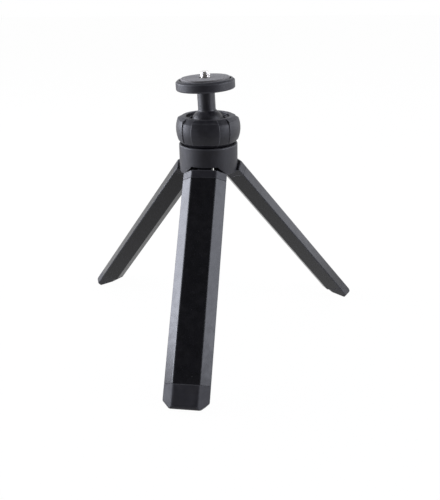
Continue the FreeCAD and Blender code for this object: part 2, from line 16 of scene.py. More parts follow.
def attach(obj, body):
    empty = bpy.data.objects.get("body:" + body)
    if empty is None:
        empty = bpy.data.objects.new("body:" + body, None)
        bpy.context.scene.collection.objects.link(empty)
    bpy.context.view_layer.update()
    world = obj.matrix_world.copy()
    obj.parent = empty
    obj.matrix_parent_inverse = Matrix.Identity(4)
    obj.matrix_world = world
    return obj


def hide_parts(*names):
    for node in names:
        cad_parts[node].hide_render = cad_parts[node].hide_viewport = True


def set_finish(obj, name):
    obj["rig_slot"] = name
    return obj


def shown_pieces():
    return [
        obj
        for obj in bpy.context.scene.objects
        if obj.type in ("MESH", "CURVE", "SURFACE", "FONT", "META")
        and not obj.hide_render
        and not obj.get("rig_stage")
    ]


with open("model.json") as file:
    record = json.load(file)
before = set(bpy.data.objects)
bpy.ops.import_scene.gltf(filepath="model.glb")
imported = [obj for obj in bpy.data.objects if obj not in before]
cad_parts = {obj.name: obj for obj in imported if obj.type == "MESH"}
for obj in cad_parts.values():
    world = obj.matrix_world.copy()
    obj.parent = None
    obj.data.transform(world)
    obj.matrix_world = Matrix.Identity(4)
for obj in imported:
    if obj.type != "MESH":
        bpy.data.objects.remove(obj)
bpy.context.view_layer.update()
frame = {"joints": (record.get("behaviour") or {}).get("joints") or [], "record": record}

# %% [markdown]
# ## Real places
# Blender works in metres and a drawing of a small product in millimetres. The surfaces below are drawn in
# millimetres about their own origin, as a drawing office would, and a matrix puts each of them in its place.
# The hinge pins, the spread of the legs and the lean of the stem are read from the joints of the packed
# model, so that what is made here lands on the pieces that carry it. A leg is drawn hanging down from its
# hinge pin: X across, Y inwards, Z up along the leg. The head is drawn upright about the ball's centre.

# %% Places of the legs and the head
mm = 0.001
joints = {joint["name"]: joint for joint in frame["joints"]}
pin_place = Vector(joints["fold_front"]["pos_m"])
pin_height = pin_place.z / mm
leg_splay = math.radians(joints["fold_front"]["range_deg"][1])
ball_place = Vector(joints["head_tilt"]["pos_m"])
stem_direction = Vector(joints["platform_turn"]["axis"])
leg_turns = {"front": 0.0, "right": math.radians(120), "left": math.radians(240)}


def leg_matrix(side):
    """Swing a hanging leg outwards on the front pin, then turn it about the tripod's axis to its side."""
    swing = Matrix.Rotation(-leg_splay, 4, "X")
    return Matrix.Rotation(leg_turns[side], 4, "Z") @ Matrix.Translation(pin_place) @ swing


lean = Vector((0, 0, 1)).rotation_difference(stem_direction).to_matrix().to_4x4()
head_matrix = Matrix.Translation(ball_place) @ lean
print(f"pins at {pin_height:.2f} mm, ball at {ball_place.z / mm:.2f} mm")

# %% [markdown]
# ## The camera
# The photograph was taken from a little above, about 40 cm away, slightly to the right of the front leg.
# A camera is a place and three directions. Forward comes from the angle that the lens looks down and the
# small angle that it looks past the axis. Sideways and upward follow from it with cross products, and a
# roll of under a degree tilts both, as a hand-held camera does.

# %% Camera
def new_object(name, data):
    """Object that shows the data, linked into the scene."""
    thing = bpy.data.objects.new(name, data)
    bpy.context.scene.collection.objects.link(thing)
    return thing


camera_azimuth = math.radians(8.80)
camera_pitch = math.radians(23.50)
camera_yaw = math.radians(0.91)
camera_roll = math.radians(0.83)
camera_distance = 388.7 * mm
camera_height = 219.3 * mm
photo_height_px = 500
focal_length_px = 649.2
sensor_mm = 36.0
near_clip = 0.01


def around_axis(across, depth, height):
    """Turn a direction or place about the tripod's axis by the camera's azimuth."""
    return Matrix.Rotation(camera_azimuth, 3, "Z") @ Vector((across, depth, height))


def make_camera():
    """Camera matrix with the sideways, upward and backward directions as its columns."""
    forward = around_axis(
        math.sin(camera_yaw) * math.cos(camera_pitch),
        math.cos(camera_yaw) * math.cos(camera_pitch),
        -math.sin(camera_pitch),
    )
    level_side = forward.cross(Vector((0, 0, 1))).normalized()
    level_up = level_side.cross(forward)
    side = level_side * math.cos(camera_roll) - level_up * math.sin(camera_roll)
    up = level_side * math.sin(camera_roll) + level_up * math.cos(camera_roll)
    camera = new_object("camera", bpy.data.cameras.new("camera"))
    turn = Matrix((side, up, -forward)).transposed().to_4x4()
    camera.matrix_world = Matrix.Translation(around_axis(0, -camera_distance, camera_height)) @ turn
    camera.data.sensor_width = sensor_mm
    camera.data.lens = focal_length_px / photo_height_px * sensor_mm
    camera.data.clip_start = near_clip
    bpy.context.scene.camera = camera
    return camera


print(f"lens: {make_camera().data.lens:.1f} mm")

# %% [markdown]
# ## Node helpers
# A material is a small program of nodes. These helpers add a node, set it up and hand back its output, so
# that the materials below read as short recipes. An input is either a plain value, which stays on the
# socket, or the output of another node, which becomes a link.

# %% Node helpers
def add(tree, kind, inputs=None, **settings):
    """Add a shader node, change its settings, and give each named or numbered input a value or a link."""
    node = tree.nodes.new(f"ShaderNode{kind}")
    for name, setting in settings.items():
        setattr(node, name, setting)
    for socket, given in (inputs or {}).items():
        if isinstance(given, bpy.types.NodeSocket):
            tree.links.new(given, node.inputs[socket])
        else:
            node.inputs[socket].default_value = given
    return node


def calculate(tree, operation, first, second):
    """One sum on two numbers."""
    return add(tree, "Math", {0: first, 1: second}, operation=operation).outputs[0]


def product(tree, first, second):
    """One number times another."""
    return calculate(tree, "MULTIPLY", first, second)


def eased(tree, value, low, high, from_low=0.0, to_high=1.0):
    """Rise smoothly from one value to another while the input goes from low to high."""
    sockets = {"Value": value, "From Min": low, "From Max": high, "To Min": from_low, "To Max": to_high}
    return add(tree, "MapRange", sockets, interpolation_type="SMOOTHSTEP").outputs[0]


def mixed_colour(tree, share, first, second):
    """Blend two colours."""
    return add(tree, "Mix", {0: share, 6: first, 7: second}, data_type="RGBA").outputs[2]


def noise(tree, place, size, detail):
    """Smooth noise whose lumps are about as large as the size, in the units of the place."""
    scale = calculate(tree, "DIVIDE", 1.0, size) if isinstance(size, bpy.types.NodeSocket) else 1.0 / size
    return add(tree, "TexNoise", {"Vector": place, "Scale": scale, "Detail": detail}).outputs[0]

# %% [markdown]
# ## The studio
# Glossy black things show what stands around them more than their own colour. In the photograph the facets
# that face sideways are pale and everything that faces the camera is nearly black. So there is a bright soft
# box on the left, a weaker one on the right, a faint one behind on the right, and a wide one above and
# behind. Low strips beside the legs keep their faces from going black, and two edge lights higher up draw
# the rounded edges of the front leg. The photographer's side of the room is dim, and the table ends just in
# front of the tripod. White ground seen by the camera is a matter of Light Path: it shows white without
# lighting the object any more.

# %% Lamps
# place and size in metres, power in watts
lamps = {
    "soft_box_left": ((-0.96, 0.12, 0.28), (0.60, 0.50), 15.0),
    "soft_box_right": ((0.94, -0.04, 0.41), (0.50, 0.50), 8.0),
    "strip_by_the_left": ((-0.60, -0.12, 0.12), (0.30, 0.16), 1.1),
    "low_strip_front_left": ((-0.40, -0.24, 0.08), (0.35, 0.14), 0.4),
    "low_strip_front_right": ((0.42, -0.16, 0.08), (0.30, 0.14), 0.3),
    "edge_light_left": ((-0.76, -0.17, 0.46), (0.35, 0.35), 1.6),
    "edge_light_right": ((0.69, -0.22, 0.60), (0.35, 0.35), 1.2),
    "soft_box_back_right": ((0.76, 0.67, 0.17), (0.50, 0.30), 1.0),
    "soft_box_above": ((-0.15, 0.60, 0.85), (1.10, 0.70), 7.0),
}
lamp_colour = (0.85, 0.88, 1.0)
lamp_target = Vector((0, 0, 0.09))
for name, (place, size, power) in lamps.items():
    light = bpy.data.lights.new(name, "AREA")
    light.shape = "RECTANGLE"
    light.size, light.size_y = size
    light.energy = power
    light.color = lamp_colour
    lamp = new_object(name, light)
    lamp.location = place
    lamp.rotation_euler = (lamp_target - lamp.location).to_track_quat("-Z", "Y").to_euler()
print("lamps:", len(lamps))

# %% Room and floor
ceiling_start = 0.25
ceiling_full = 0.80
front_full = -0.55
front_start = -0.05
wall_light = 0.70
dim_light = 0.20
floor_width = 3.0
floor_front = -0.24
floor_back = 3.0
floor_white = 0.985
floor_grey = (0.8, 0.8, 0.8, 1.0)
floor_roughness = 0.9
white = (1.0, 1.0, 1.0, 1.0)


def make_room():
    """World: pale walls at the sides and behind, dim overhead and in front, white for the camera."""
    world = bpy.data.worlds.new("room")
    world.use_nodes = True
    tree = world.node_tree
    direction = add(tree, "SeparateXYZ", {0: add(tree, "TexCoord").outputs["Generated"]}).outputs
    low = eased(tree, direction["Z"], ceiling_start, ceiling_full, 1.0, 0.0)
    behind = eased(tree, direction["Y"], front_full, front_start)
    wall = product(tree, product(tree, low, behind), wall_light)
    light = calculate(tree, "ADD", wall, dim_light)
    seen = add(tree, "LightPath").outputs["Is Camera Ray"]
    level = add(tree, "Mix", {0: seen, 2: light, 3: 1.0}).outputs[0]
    background = tree.nodes["Background"]
    background.inputs["Color"].default_value = white
    tree.links.new(level, background.inputs["Strength"])
    bpy.context.scene.world = world


def make_floor():
    """Pale floor: matt under the lamps, white for the camera and in reflections, but for the shadows."""
    side = floor_width / 2
    mesh = bpy.data.meshes.new("floor")
    near, far = floor_front, floor_back
    mesh.from_pydata([(-side, near, 0), (side, near, 0), (side, far, 0), (-side, far, 0)], [], [(0, 1, 2, 3)])
    floor = new_object("floor", mesh)
    material = bpy.data.materials.new("pale_floor")
    material.use_nodes = True
    tree = material.node_tree
    paper = tree.nodes["Principled BSDF"]
    paper.inputs["Base Color"].default_value = floor_grey
    paper.inputs["Roughness"].default_value = floor_roughness
    glow = add(tree, "Emission", {"Color": white, "Strength": 1.0})
    path = add(tree, "LightPath").outputs
    seen = calculate(tree, "MAXIMUM", path["Is Camera Ray"], path["Is Glossy Ray"])
    share = product(tree, seen, floor_white)
    shown = add(tree, "MixShader", {0: share, 1: paper.outputs[0], 2: glow.outputs[0]})
    tree.links.new(shown.outputs[0], tree.nodes["Material Output"].inputs["Surface"])
    mesh.materials.append(material)
    floor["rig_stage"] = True


make_room()
make_floor()
bpy.context.scene.view_settings.view_transform = "Standard"
print("floor:", floor_width, "m across")

# %% [markdown]
# ## Surfaces from arrays
# Every piece below is a sheet of points in rows and columns. For a turned piece a row is one ring and
# the rows follow a profile; for a leg a row is the section of the extrusion. Moulded and machined things
# have no perfectly sharp corners, so outlines are drawn as a few corners, each with its own radius, and a
# function turns the corners into arcs. That is exact, and cheaper than bevelling the finished mesh.

# %% Outlines with rounded corners
firm_edge = 0.05
least_length = 1e-12
count_slack = 1e-9


def unit(vectors):
    """Each vector divided by its length."""
    return vectors / np.maximum(np.linalg.norm(vectors, axis=-1, keepdims=True), least_length)


def corner_shape(corners):
    """Directions from each corner to its neighbours, the direction halving them, and half their angle.

    The half angle is half the arc cosine of the two directions' dot product.
    """
    before = unit(np.roll(corners, 1, axis=0) - corners)
    after = unit(np.roll(corners, -1, axis=0) - corners)
    half = np.arccos((before * after).sum(axis=1, keepdims=True)) / 2
    return before, after, unit(before + after), half


def rounded(corners, radii, closed=True, steps=7):
    """Outline whose corners are arcs.

    An arc of radius r in a corner of half angle h starts r / tan(h) from the corner, and its centre lies
    r / sin(h) along the halving direction. The spoke from the centre turns evenly from start to end. One
    more point just outside each end keeps the straight stretches flat in smooth shading.
    """
    corners = np.array(corners, float)
    radii = np.broadcast_to(radii, len(corners)).reshape(-1, 1)
    before, after, halving, half = corner_shape(corners)
    reach = radii / np.tan(half)
    centres = corners + halving * radii / np.sin(half)
    first = (corners + before * reach - centres)[:, None]
    last = (corners + after * reach - centres)[:, None]
    sweep = math.pi - 2 * half
    share = np.linspace(0, 1, steps)
    fade = (np.sin((1 - share) * sweep) / np.sin(sweep))[..., None]
    rise = (np.sin(share * sweep) / np.sin(sweep))[..., None]
    arcs = centres[:, None] + first * fade + last * rise
    lead = corners + before * (reach + firm_edge)
    trail = corners + after * (reach + firm_edge)
    groups = np.concatenate([lead[:, None], arcs, trail[:, None]], axis=1)
    if closed:
        return groups.reshape(-1, 2)
    return np.vstack([corners[:1], groups[1:-1].reshape(-1, 2), corners[-1:]])


def filled(points, longest):
    """Closed outline with long stretches divided: length L gets L / longest equal steps, rounded up.

    Steps of no length disappear. Several outlines in one array are divided alike, by their longest.
    """
    ends = np.concatenate([points, points[..., :1, :]], axis=-2)
    lengths = np.linalg.norm(np.diff(ends, axis=-2), axis=-1)
    lengths = lengths.reshape(-1, lengths.shape[-1]).max(axis=0)
    counts = np.ceil(lengths / longest - count_slack).astype(int)
    numbers = np.repeat(np.arange(len(counts)), counts)
    within = np.arange(len(numbers)) - np.repeat(np.cumsum(counts) - counts, counts)
    share = (within / counts[numbers])[:, None]
    return ends[..., numbers, :] * (1 - share) + ends[..., numbers + 1, :] * share


def rectangle(left, right, low, high):
    """Corners of a rectangle, from the lower left one."""
    return [(left, low), (right, low), (right, high), (left, high)]


square = rounded(rectangle(0, 10, 0, 10), 2.0)
print("points of a rounded square:", len(square), "and filled:", len(filled(square, 1.0)))

# %% [markdown]
# ## How sharply a surface bends
# Wear shows on outer edges and dust gathers in hollows. A renderer can guess at both, but the grid knows
# them exactly: the direction of a step changes where the surface bends, and the side that it turns to says
# whether that is an edge or a hollow. The bend is stored with the mesh, and the finishes read it.

# %% Bend of a grid, and grids as faces
finest_step = 0.02


def bend_along(points, joined):
    """Change of direction per millimetre at each point, along the rows of the grid."""
    ahead = np.roll(points, -1, axis=0) - points
    behind = points - np.roll(points, 1, axis=0)
    if not joined:
        ahead[-1] = behind[-1]
        behind[0] = ahead[0]
    length = np.linalg.norm(ahead, axis=-1) + np.linalg.norm(behind, axis=-1)
    return ahead + behind, (unit(ahead) - unit(behind)) / np.maximum(length / 2, finest_step)[..., None]


def grid(points, over=False, capped=False):
    """Points in rows and columns as vertices, faces and a bend at each vertex.

    Neighbouring points share four-cornered faces, and the last column joins the first. `over` joins the
    last row to the first, and `capped` joins each end row to its own middle. The bend is the change of
    direction against the outward normal, plus on edges and minus in hollows.
    """
    upward, row_bend = bend_along(points, over)
    sideways, column_bend = bend_along(points.swapaxes(0, 1), True)
    sideways, column_bend = sideways.swapaxes(0, 1), column_bend.swapaxes(0, 1)
    normal = unit(np.cross(sideways, upward))
    bend = -((row_bend + column_bend) * normal).sum(axis=-1)
    numbers = np.arange(points.shape[0] * points.shape[1]).reshape(points.shape[:2])
    numbers = np.hstack([numbers, numbers[:, :1]])
    if over:
        numbers = np.vstack([numbers, numbers[:1]])
    quads = np.stack([numbers[:-1, :-1], numbers[:-1, 1:], numbers[1:, 1:], numbers[1:, :-1]], axis=-1)
    faces = quads.reshape(-1, 4).tolist()
    vertices = points.reshape(-1, 3)
    if capped:
        for row, ahead, behind in ((0, 1, 0), (-1, 0, 1)):
            middle = np.full(len(numbers[row]) - 1, len(vertices))
            rim = (numbers[row, :-1], numbers[row, 1:])
            faces += np.stack([middle, rim[ahead], rim[behind]], axis=-1).tolist()
            vertices = np.vstack([vertices, points[row].mean(axis=0)])
            bend = np.append(bend, 0.0)
    return {"vertices": vertices, "faces": faces, "bend": np.clip(bend, -1, 1).ravel()}


def turned(profile, angles):
    """Profile of radii and heights turned about Z: ring point = (r cos a, r sin a, z).

    A whole number asks for that many even columns.
    """
    if isinstance(angles, int):
        angles = np.arange(angles) * 2 * math.pi / angles
    radii, heights = profile[:, :1], profile[:, 1:]
    return np.stack([radii * np.cos(angles), radii * np.sin(angles), heights + 0 * angles], axis=-1)


print("faces of a turned square:", len(grid(turned(square + (5, 0), 24), over=True)["faces"]))

# %% Make a piece of one or more grids
smooth_limit = math.radians(38)
made = []


def make_piece(name, grids, place, body, slot, *stands_for):
    """Join grids into one mesh, put it in place, and make it ride on its body instead of the CAD nodes.

    The mesh keeps two things for its finish: the bend, and every point's own place in millimetres.
    """
    starts = np.cumsum([0] + [len(part["vertices"]) for part in grids])
    own = np.vstack([part["vertices"] for part in grids])
    faces = [[corner + int(start) for corner in face] for part, start in zip(grids, starts)
             for face in part["faces"]]
    mesh = bpy.data.meshes.new(name)
    turn = np.array(place.to_3x3())
    mesh.from_pydata((own * mm @ turn.T + np.array(place.translation)).tolist(), [], faces)
    mesh.attributes.new("bend", "FLOAT", "POINT").data.foreach_set(
        "value", np.concatenate([part["bend"] for part in grids]))
    mesh.attributes.new("own_place", "FLOAT_VECTOR", "POINT").data.foreach_set("vector", own.ravel())
    mesh.shade_smooth()
    mesh.set_sharp_from_angle(angle=smooth_limit)
    piece = new_object(name, mesh)
    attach(piece, body)
    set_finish(piece, slot)
    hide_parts(*stands_for)
    made.append(name)
    print(f"{name}: {len(faces)} faces")


def make_leg_pieces(kind, grids, slot):
    """The same piece on each leg."""
    for side in leg_turns:
        make_piece(f"{kind}_{side}", grids, leg_matrix(side), f"leg_{side}", slot, f"leg_{kind}_{side}")

# %% [markdown]
# ## The leg's section
# The legs are cut from one aluminium extrusion. Its section has a flat outer face, a facet on each side,
# and a second pair of faces that lie against the neighbours when the legs fold together, so that three legs
# make a bundle. The corners beside the outer face are generously round, which gives the soft light lines
# along the front leg; the others are only just broken. A wall, a bevel or a plug is the same section with
# every side moved inwards.

# %% Section of the leg
face_half_width = 7.2
facet_half_width = 13.5
facet_depth = 5.7
inner_half_width = 3.05
section_depth = 12.0
pin_depth = 5.8
face_rounding = 2.6
corner_rounding = 0.6
least_rounding = 0.15


def leg_section(inset=0.0):
    """Outline of the leg about its hinge pin, with every side moved inwards by the inset.

    A corner of half angle h moves along its halving direction by inset / sin(h), and its radius shrinks
    by the inset.
    """
    half = np.array([(face_half_width, 0), (facet_half_width, facet_depth),
                     (inner_half_width, section_depth)])
    corners = np.vstack([half, half[::-1] * (-1, 1)]) - (0, pin_depth)
    halving, angle = corner_shape(corners)[2:]
    sharp = [face_rounding] + [corner_rounding] * 4 + [face_rounding]
    radii = np.maximum(np.array(sharp) - inset, least_rounding)
    return rounded(corners + halving * inset / np.sin(angle), radii)


def carried(profile, longest=None):
    """Profile of insets and heights carried round the leg's section: one section to each height."""
    sections = np.stack([leg_section(inset) for inset in profile[:, 0]])
    if longest:
        sections = filled(sections, longest)
    heights = np.broadcast_to(profile[:, None, 1:], sections.shape[:2] + (1,))
    return np.concatenate([sections, heights], axis=-1)


print("section:", np.ptp(leg_section(), axis=0).round(2), "mm")

# %% [markdown]
# ## Tubes
# The tube is sawn to length and its ends are broken with a file before it is anodised. The wall's own
# outline, a slim rectangle with small radii, is carried round the section and closed on itself, so the
# tube has a real inside.

# %% Leg tubes
block_top = -9.6
block_seam = -14.5
foot_seam = -134.2
toe_end = -147.4
tube_wall = 1.2
tube_edge = 0.22

wall = rounded([(0, foot_seam), (0, block_seam), (tube_wall, block_seam), (tube_wall, foot_seam)], tube_edge)
make_leg_pieces("tube", [grid(carried(wall), over=True)], "black_anodised_aluminium")

# %% [markdown]
# ## Knuckles
# A plastic block closes the top of each tube and carries the lug that turns on the hinge pin. Block and
# plug are one profile carried round the section. The lug is a plate with a bore: its outer outline and the
# bore are joined by equal angles about the pin, which works for any outline that the pin can see all of.

# %% Plates with a bore
plate_step = 0.5
pin_bore = 1.3


def plate(corners, radii, bore_centre, thickness, edge):
    """Plate drawn in Y and Z and thick along X, with broken outer edges and a round bore for the pin.

    The outer outline is moved towards the bore's centre near both faces, by the edge's arc. The bore's
    point at each angle is centre + radius times the unit vector to the outline's point.
    """
    spokes = filled(rounded(corners, radii), plate_step) - bore_centre
    inner, half = 3 * edge, thickness / 2
    bevel = rounded([(inner, -half), (0, -half), (0, half), (inner, half)], edge, closed=False, steps=5)
    length = np.linalg.norm(spokes, axis=-1, keepdims=True)
    rings = bore_centre + unit(spokes) * (length - bevel[:, None, :1])
    bore = np.broadcast_to(bore_centre + unit(spokes) * pin_bore, (2,) + spokes.shape)
    outlines = np.concatenate([rings, bore])
    across = np.append(bevel[:, 1], (half, -half))
    depths = np.broadcast_to(across[:, None, None], outlines.shape[:2] + (1,))
    return np.concatenate([depths, outlines], axis=-1)

# %% Knuckles
lug_half_width = 4.0
lug_radius = 3.4
lug_end_radius = lug_radius - 0.01
lug_edge = 0.3
lug_foot = block_top - 2.4
plug_length = 12.0
plug_inset = 1.3
plug_end_inset = plug_inset + 1.0
plug_edge = 0.4
block_lid_inset = 2.2
seam_edge = 0.25
seam_hollow = 0.1
shoulder = 0.7

block = rounded([
    (plug_end_inset, block_seam - plug_length), (plug_inset, block_seam - plug_length),
    (plug_inset, block_seam), (0, block_seam), (0, block_top), (block_lid_inset, block_top),
], [0, plug_edge, seam_hollow, seam_edge, shoulder, 0], closed=False)
lug_corners = rectangle(-lug_radius, lug_radius, lug_foot, lug_radius)
lug_radii = [lug_edge, lug_edge, lug_end_radius, lug_end_radius]
lug = plate(lug_corners, lug_radii, np.zeros(2), 2 * lug_half_width, lug_edge)
make_leg_pieces("knuckle", [grid(carried(block), capped=True), grid(lug, over=True)], "black_satin_plastic")

# %% [markdown]
# ## Feet
# The foot continues the section and is then cut: a slanting sole that stands level on the table, a heel
# that rises behind it, a small step, and two slanting corners. Each cut limits how deep or how wide the
# section may be at that height. A softened minimum leaves the small radii of a moulding where cut and
# section meet.

# %% Leg feet
toe_depth = 4.9
sole_depth = 7.3
heel_depth = 10.8
heel_rise = 7.9
heel_step = 11.6
toe_half_width = 8.4
toe_corner_rise = 4.4
toe_rounding = 2.0
end_edge = 0.5
beyond = section_depth + 1.5
step_ramp = 0.25
toe_rows = 9
row_step = 0.25
foot_column_step = 0.4
cut_softness = 0.28


def soft_limit(values, limit, softness):
    """Smaller of two values with a round change-over: (a + b - sqrt((a - b)^2 + s^2)) / 2."""
    return (values + limit - np.sqrt((values - limit) ** 2 + softness ** 2)) / 2


def arc_inset(rise, radius):
    """How far a rounded edge draws in at a height above its end: r - sqrt(r^2 - (r - rise)^2)."""
    short = np.clip(radius - rise, 0, radius)
    return radius - np.sqrt(radius ** 2 - short ** 2)


def foot_shape():
    """Sections from the toe up, limited in depth and width, then the plug inside the tube."""
    toe = np.linspace(0, 1, toe_rows) ** 1.5 * toe_rounding
    rises = np.append(toe, np.arange(toe_rounding + row_step, foot_seam - toe_end - 0.4, row_step))
    shaft = np.column_stack([0 * rises, toe_end + rises])
    neck = rounded([
        (0, toe_end + rises[-1]), (0, foot_seam), (plug_inset, foot_seam),
        (plug_inset, foot_seam + plug_length), (plug_end_inset, foot_seam + plug_length),
    ], [0, seam_edge, seam_hollow, plug_edge, 0], closed=False)
    points = carried(np.vstack([shaft, neck[1:]]), longest=foot_column_step)
    rise = points[:, :1, 2] - toe_end
    sole_rise = (sole_depth - toe_depth) * math.tan(leg_splay)
    depth_limit = np.interp(rise, [0, sole_rise, heel_rise, heel_step, heel_step + step_ramp],
                            [toe_depth, sole_depth, heel_depth, heel_depth, beyond])
    width_limit = toe_half_width + (facet_half_width - toe_half_width) * rise / toe_corner_rise
    closing = arc_inset(rise, end_edge)
    depth = soft_limit(points[..., 1] + pin_depth, depth_limit - closing, cut_softness)
    depth = np.maximum(depth, arc_inset(rise, toe_rounding))
    width = np.maximum(soft_limit(np.abs(points[..., 0]), width_limit - closing, cut_softness), 0)
    return np.stack([np.sign(points[..., 0]) * width, depth - pin_depth, points[..., 2]], axis=-1)


make_leg_pieces("foot", [grid(foot_shape(), capped=True)], "black_matte_plastic")

# %% [markdown]
# ## Collar
# The collar is one moulding: an outer wall whose lower edge is cut away above each leg, a roof inside it, a
# boss for the central screw, and for each hinge a pair of ears with a stiffening wall behind them. Outer
# wall, roof and boss are one closed profile turned about the axis. Only the height of the wall's lower edge
# changes on the way round: it depends on how far sideways a point lies from the middle of its leg, because
# the mould's core is pulled straight out.

# %% Collar
collar_radius = 17.8
collar_bore = 16.0
rim_top = pin_height + 8.0
roof_top = pin_height + 5.8
roof_base = roof_top - 2.2
skirt_base = pin_height - 8.8
opening_rise = 5.6
opening_side = 1.0
opening_half_width = 8.4
skirt_gap_half_width = 13.4
boss_radius = 4.4
boss_base = pin_height - 4.0
bolt_bore = 2.0
ear_centre = 5.8
ear_thickness = 2.4
ear_base = pin_height - 3.5
ear_inner_end = -3.2
ear_outer_end = -collar_bore + 0.05
in_roof = roof_top - 1.1
rib_radius = 9.6
rib_thickness = 1.2
rib_half_width = 12.9
rib_base = pin_height - 8.4
rib_edge = 0.2
pin_circle = -pin_place.y / mm
third = 2 * math.pi / 3
collar_columns = 480
collar_step = 1.6
step_half_width = 0.1


def lower_edge_lift(across):
    """Height of the wall's lower edge above the skirt: level over the leg, a short step, then a slope."""
    edge = opening_half_width
    places = [edge - step_half_width, edge + step_half_width, skirt_gap_half_width]
    return np.interp(np.abs(across), places, [opening_rise, opening_rise - opening_side, 0])


def turned_about_z(points, angle):
    """Points turned about the tripod's axis."""
    cosine, sine = math.cos(angle), math.sin(angle)
    return points @ np.array([(cosine, sine, 0), (-sine, cosine, 0), (0, 0, 1)])


def collar_wall():
    """Closed profile turned about the axis, with the wall's lower rows lifted over the legs.

    The lift is whole at the lower edge and fades out towards the rim outside and the roof inside.
    """
    profile = filled(rounded([
        (collar_radius, skirt_base), (collar_radius, rim_top), (collar_bore, rim_top),
        (collar_bore, roof_top), (bolt_bore, roof_top), (bolt_bore, boss_base), (boss_radius, boss_base),
        (boss_radius, roof_base), (collar_bore, roof_base), (collar_bore, skirt_base),
    ], [0.35, 0.7, 0.4, 0.3, 0.2, 0.2, 0.4, 0.4, 0.4, 0.35]), collar_step)
    points = turned(profile, collar_columns)
    radii, heights = profile[:, :1], profile[:, 1:]
    outer = radii > (collar_radius + collar_bore) / 2
    top = np.where(outer, rim_top - 1.0, roof_base - 0.5)
    lifted = np.where(radii > collar_bore - 0.5, np.clip((top - heights) / (top - skirt_base - 0.6), 0, 1), 0)
    around = np.arctan2(points[..., 1], points[..., 0])
    from_leg = (around + math.pi / 2 + third / 2) % third - third / 2
    points[..., 2] += lifted * lower_edge_lift(radii * np.sin(from_leg))
    return grid(points, over=True)


def collar_ears():
    """Two bored plates for each leg, from the boss to the wall and up into the roof."""
    corners = rectangle(ear_outer_end, ear_inner_end, ear_base, in_roof)
    ear = plate(corners, [0.4, 0.1, 0.1, 0.1], np.array((-pin_circle, pin_height)), ear_thickness, 0.25)
    return [grid(turned_about_z(ear + (side * ear_centre, 0, 0), turn), over=True)
            for turn in leg_turns.values() for side in (-1, 1)]


def collar_ribs():
    """A stiffening wall behind each leg, from ear to outer wall on both sides of the lug."""
    near, far = ear_centre - ear_thickness / 2, rib_half_width
    ribs = []
    for start, end in ((near, far), (-far, -near)):
        outline = rounded(rectangle(start, end, -rib_radius - rib_thickness, -rib_radius), rib_edge)
        ribs.append(np.stack([np.column_stack([outline, np.full(len(outline), height)])
                              for height in (rib_base, in_roof)]))
    return [grid(turned_about_z(rib, turn), capped=True) for turn in leg_turns.values() for rib in ribs]


collar = [collar_wall()] + collar_ears() + collar_ribs()
make_piece("collar", collar, Matrix.Identity(4), "hub", "black_satin_plastic", "hub_collar")

# %% [markdown]
# ## Screw and hinge pins
# From below one looks at the screw that holds the head on the collar, and at the ends of the pins. The
# screw's recess is a hexagon: the distance to a straight side at angle a from its middle is apothem / cos a.

# %% Screw and pins
bolt_head_radius = 3.4
bolt_head_height = 2.4
bolt_washer_height = 0.6
bolt_radius = 1.95
bolt_top = roof_top + 1.8
key_radius = 1.5
key_depth = 1.2
pin_radius = 1.25
pin_half_length = 7.0
pin_edge = 0.3


def make_bolt():
    """Turned profile from the recess's floor down, out, and up the shank. Only the recess is six-sided."""
    head_top = boss_base - bolt_washer_height
    head_base = head_top - bolt_head_height
    profile = rounded([
        (0.3, head_base + key_depth), (key_radius, head_base + key_depth), (key_radius, head_base),
        (bolt_head_radius, head_base), (bolt_head_radius, head_top), (bolt_radius, head_top),
        (bolt_radius, bolt_top), (0.5, bolt_top),
    ], [0, 0.1, 0.15, 0.5, 0.15, 0.1, 0.4, 0], closed=False)
    points = turned(profile, 120)
    angles = np.arctan2(points[0, :, 1], points[0, :, 0])
    sixth = math.pi / 3
    hexagon = math.cos(sixth / 2) / np.cos((angles + sixth / 2) % sixth - sixth / 2)
    in_recess = (profile[:, 0] <= key_radius) & (profile[:, 1] < head_top)
    points[in_recess, :, :2] *= hexagon[:, None]
    return grid(points, capped=True)


make_piece("head_screw", [make_bolt()], Matrix.Identity(4), "hub", "bright_steel", "hub_bolt")

pin_corners = rectangle(0.2, pin_radius, -pin_half_length, pin_half_length)
pin = grid(turned(rounded(pin_corners, [0, pin_edge, pin_edge, 0], closed=False), 48), capped=True)
along_x = Matrix.Rotation(math.radians(90), 4, "Y")
for side, turn in leg_turns.items():
    place = Matrix.Rotation(turn, 4, "Z") @ Matrix.Translation(pin_place) @ along_x
    make_piece(f"hinge_pin_of_{side}_leg", [pin], place, "hub", "bright_steel", f"hinge_pin_{side}")

# %% [markdown]
# ## Lock knob
# The knob is a barrel with five shallow finger grooves. The floor of a groove runs at a constant depth below
# the barrel, steep little walls lead up to the lobes between the grooves, and each lobe is a little flatter
# than the barrel. So the knob is a turned surface whose radius is blended, by the angle from the nearest
# groove's middle, between the lobe's and the floor's. Above the grooves a bevel runs up to the knob's rim.
# Columns are crowded together at the walls, where the surface changes fast, and lie far apart elsewhere.

# %% Lock knob
knob_base = 0.4
knob_skirt = 1.7
knob_bore = 13.65
knob_lip_base = 15.65
knob_lip_top = 16.85
belly_start = 4.6
belly_end = 17.2
belly_radius = 19.4
belly_curve = 17.83
groove_count = 5
groove_middle = math.radians(-50.5)
groove_depth = 0.2
groove_half_angle = 10.0
groove_end_widening = 1.0
wall_angle = 1.5
floor_softness = 0.12
lobe_half_angle = 180 / groove_count
lobe_flatness = 0.55
lobe_level = 0.45
lobe_fade_width = 2
bevel_slope = 1.02
bevel_radius = 15.55
bevel_rise = 18.75
bevel_softness = 0.2
barrel_inner_limit = knob_bore + 0.7
knob_step = 0.6
